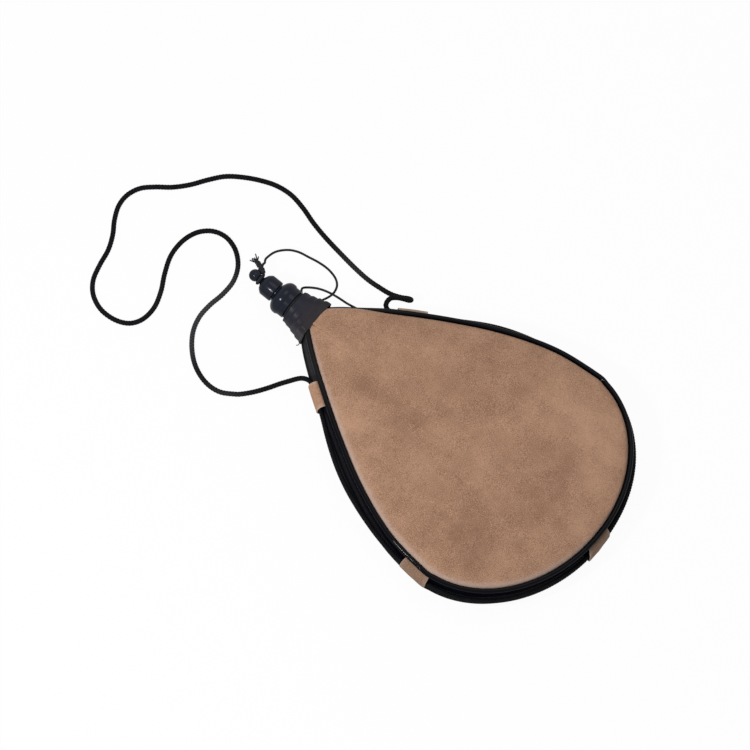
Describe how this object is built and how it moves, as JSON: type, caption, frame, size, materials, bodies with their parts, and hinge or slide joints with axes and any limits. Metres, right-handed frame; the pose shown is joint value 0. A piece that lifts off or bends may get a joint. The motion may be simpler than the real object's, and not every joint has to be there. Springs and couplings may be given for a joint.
{
  "type": "leather bota bag",
  "caption": "Flat teardrop suede wineskin on its back, with piped black side band, corded edge, bound neck and a two-stage screw cap with a tethered ball top.",
  "frame": {"origin": "middle of the bag's box on the surface that its back panel rests on, free cords left out", "axes": "+Y along the bag towards the neck and caps, +Z out of the suede front, +X across the bag"},
  "size_m": [0.208, 0.4134, 0.0307],
  "materials": {
    "tan_suede": "napped suede",
    "black_leatherette": "satin",
    "black_braid": "braided cord",
    "black_plastic": "semi-gloss moulding",
    "latex": "matt",
    "seal_rubber": "matt"
  },
  "bodies": {
    "bag": {"front_panel": "tan_suede", "back_panel": "tan_suede", "side_band": "black_leatherette", "front_piping": "black_leatherette", "back_piping": "black_leatherette", "strap_loop_upper_left": "tan_suede", "strap_loop_lower_left": "tan_suede", "strap_loop_bottom": "tan_suede", "strap_loop_lower_right": "tan_suede", "strap_loop_upper_right": "tan_suede", "edge_cord": "black_braid", "strap_cord": "black_braid", "bladder": "latex", "neck_collar": "black_leatherette", "neck_binding": "black_braid", "spout": "black_plastic", "tether_tie": "black_braid", "tether_bag_line": "black_braid"},
    "filler_lift": {"filler_gasket": "seal_rubber"},
    "filler_cap": {"filler_cap": "black_plastic"},
    "drinking_lift": {"cap_liner": "seal_rubber"},
    "drinking_cap": {"drinking_cap": "black_plastic"},
    "tether_end": {"tether_knot": "black_braid", "tether_cap_line": "black_braid"}
  },
  "joints": [
    {"name": "filler_rise", "type": "slide", "parent": "bag", "child": "filler_lift", "axis": [0, 1, 0], "range_m": [0, 0.0076]},
    {"name": "filler_unscrew", "type": "hinge", "parent": "filler_lift", "child": "filler_cap", "pos_m": [0, 0.125, 0.0145], "axis": [0, 1, 0], "range_deg": [0, 900]},
    {"name": "drinking_rise", "type": "slide", "parent": "filler_cap", "child": "drinking_lift", "axis": [0, 1, 0], "range_m": [0, 0.0076]},
    {"name": "drinking_unscrew", "type": "hinge", "parent": "drinking_lift", "child": "drinking_cap", "pos_m": [0, 0.138, 0.0145], "axis": [0, 1, 0], "range_deg": [0, 1080]},
    {"name": "tether_rise", "type": "slide", "parent": "filler_lift", "child": "tether_end", "axis": [0, 1, 0], "range_m": [0, 0.0076]}
  ],
  "couplings": [
    {"joint": "filler_rise", "follows": "filler_unscrew", "m_per_rad": 0.00047746},
    {"joint": "drinking_rise", "follows": "drinking_unscrew", "m_per_rad": 0.00039789},
    {"joint": "tether_rise", "follows": "drinking_unscrew", "m_per_rad": 0.00039789}
  ]
}
